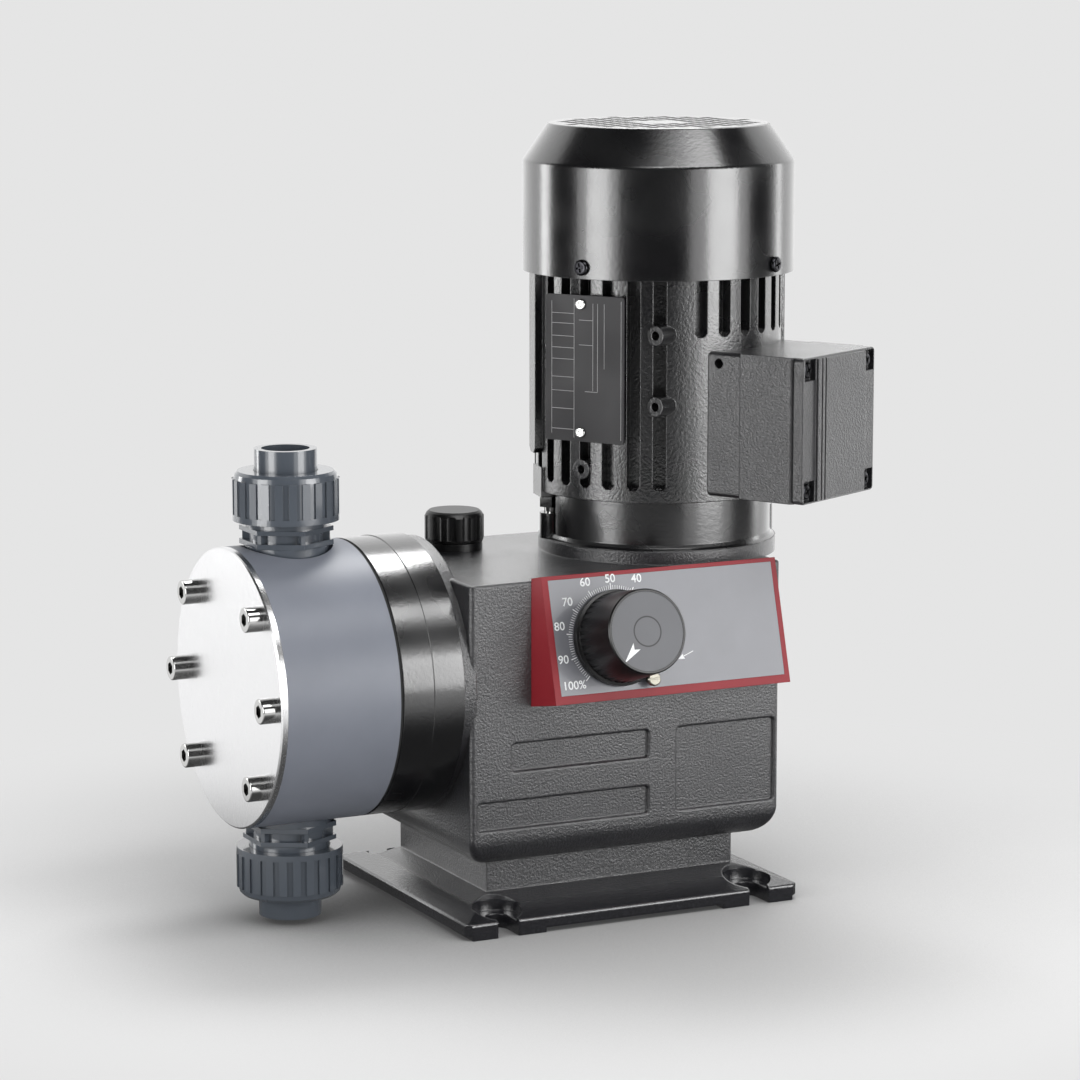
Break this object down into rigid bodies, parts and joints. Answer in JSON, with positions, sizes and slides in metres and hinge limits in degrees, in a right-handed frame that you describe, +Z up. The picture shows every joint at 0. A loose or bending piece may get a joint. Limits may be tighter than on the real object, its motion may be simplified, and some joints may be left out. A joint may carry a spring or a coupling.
{
  "type": "diaphragm metering pump",
  "caption": "Motor-driven diaphragm metering pump with worm gear housing on a slotted foot, plastic dosing head with vertical unions, stroke knob on a tilted scale and finned motor.",
  "frame": {"origin": "centre of the foot in plan, on the underside of its four pads", "axes": "+X from the dosing head towards the far end of the housing, -Y towards the control panel, +Z up along the motor's axis"},
  "size_m": [0.3423, 0.2084, 0.4106],
  "materials": {
    "cast_black": "coarse black paint on casting",
    "gloss_black": "glossy black paint",
    "pvc_grey": "satin blue grey plastic",
    "pvc_dark": "satin dark grey plastic",
    "stainless": "ground stainless steel",
    "screw_steel": "bright steel",
    "rubber_black": "black rubber",
    "red_plastic": "red moulding",
    "panel_grey": "light grey painted sheet",
    "knob_black": "black moulding",
    "knob_grey": "dark grey disc",
    "machined_steel": "machined steel",
    "bronze": "bronze",
    "spring_steel": "oiled spring wire",
    "motor_black": "black painted die casting",
    "copper_core": "laminations and varnished copper",
    "ball_glass": "polished ball",
    "plate_black": "black printed plate"
  },
  "bodies": {
    "housing": {"bearing_cover": "cast_black", "bearing_cover_screws": "screw_steel", "cowl_screws": "screw_steel", "diaphragm": "rubber_black", "discharge_o_ring": "rubber_black", "discharge_union_socket": "pvc_dark", "discharge_valve_body": "pvc_dark", "discharge_valve_seat": "pvc_dark", "dosing_head": "pvc_grey", "fan_cowl": "gloss_black", "front_disc": "stainless", "gear_housing": "cast_black", "guide_bush": "bronze", "head_screws": "screw_steel", "intermediate_ring": "gloss_black", "motor_bearings": "machined_steel", "motor_bolts": "screw_steel", "motor_end_shield": "motor_black", "motor_flange": "gloss_black", "nameplate": "plate_black", "nameplate_screws": "screw_steel", "oil_drain_plug": "screw_steel", "return_spring": "spring_steel", "rod_seal": "rubber_black", "scale_frame": "red_plastic", "scale_plate": "panel_grey", "shaft_bearings": "machined_steel", "shaft_seal": "rubber_black", "spindle_bush": "bronze", "stator_core": "copper_core", "stator_housing": "motor_black", "suction_o_ring": "rubber_black", "suction_union_socket": "pvc_dark", "suction_valve_body": "pvc_dark", "suction_valve_seat": "pvc_dark", "terminal_board": "knob_black", "terminal_box_base": "motor_black", "terminal_box_frame": "motor_black", "terminal_cover": "motor_black", "terminal_cover_screws": "screw_steel", "vent_base": "knob_black"},
    "rotor": {"worm": "machined_steel", "rotor_shaft": "machined_steel", "rotor_core": "machined_steel", "fan": "knob_black"},
    "eccentric": {"eccentric_shaft": "machined_steel", "eccentric_disc": "machined_steel", "worm_wheel": "bronze"},
    "rod": {"push_rod": "machined_steel", "diaphragm_core": "machined_steel"},
    "knob": {"stroke_knob": "knob_black", "knob_disc": "knob_grey", "adjusting_spindle": "machined_steel"},
    "lock_screw": {"lock_screw": "screw_steel"},
    "vent_cap": {"vent_cap": "knob_black"},
    "discharge_nut": {"discharge_union_nut": "pvc_dark"},
    "suction_nut": {"suction_union_nut": "pvc_dark"},
    "discharge_ball": {"discharge_valve_ball": "ball_glass"},
    "suction_ball": {"suction_valve_ball": "ball_glass"}
  },
  "joints": [
    {"name": "motor_spin", "type": "hinge", "parent": "housing", "child": "rotor", "pos_m": [0.0557, 0, 0.25], "axis": [0, 0, 1], "continuous": true},
    {"name": "eccentric_spin", "type": "hinge", "parent": "housing", "child": "eccentric", "pos_m": [0.022, 0, 0.1264], "axis": [0, 1, 0], "continuous": true},
    {"name": "rod_stroke", "type": "slide", "parent": "housing", "child": "rod", "axis": [1, 0, 0], "range_m": [0, 0.008], "deforming": ["return_spring", "diaphragm"]},
    {"name": "knob_turn", "type": "hinge", "parent": "housing", "child": "knob", "pos_m": [-0.012, -0.084, 0.1515], "axis": [0, -0.9632, 0.2689], "range_deg": [-270, 0]},
    {"name": "lock_screw_turn", "type": "hinge", "parent": "housing", "child": "lock_screw", "pos_m": [0.0037, -0.09019, 0.12935], "axis": [0, -0.9632, 0.2689], "range_deg": [0, 360]},
    {"name": "vent_cap_turn", "type": "hinge", "parent": "housing", "child": "vent_cap", "pos_m": [-0.046, 0.041, 0.195], "axis": [0, 0, 1], "range_deg": [0, 360]},
    {"name": "discharge_nut_turn", "type": "hinge", "parent": "housing", "child": "discharge_nut", "pos_m": [-0.1607, 0, 0.225], "axis": [0, 0, 1], "continuous": true},
    {"name": "suction_nut_turn", "type": "hinge", "parent": "housing", "child": "suction_nut", "pos_m": [-0.1607, 0, 0.028], "axis": [0, 0, 1], "continuous": true},
    {"name": "discharge_ball_lift", "type": "slide", "parent": "housing", "child": "discharge_ball", "axis": [0, 0, 1], "range_m": [0, 0.003]},
    {"name": "suction_ball_lift", "type": "slide", "parent": "housing", "child": "suction_ball", "axis": [0, 0, 1], "range_m": [0, 0.003]}
  ],
  "couplings": [
    {"joint": "eccentric_spin", "follows": "motor_spin", "ratio": 0.04}
  ]
}
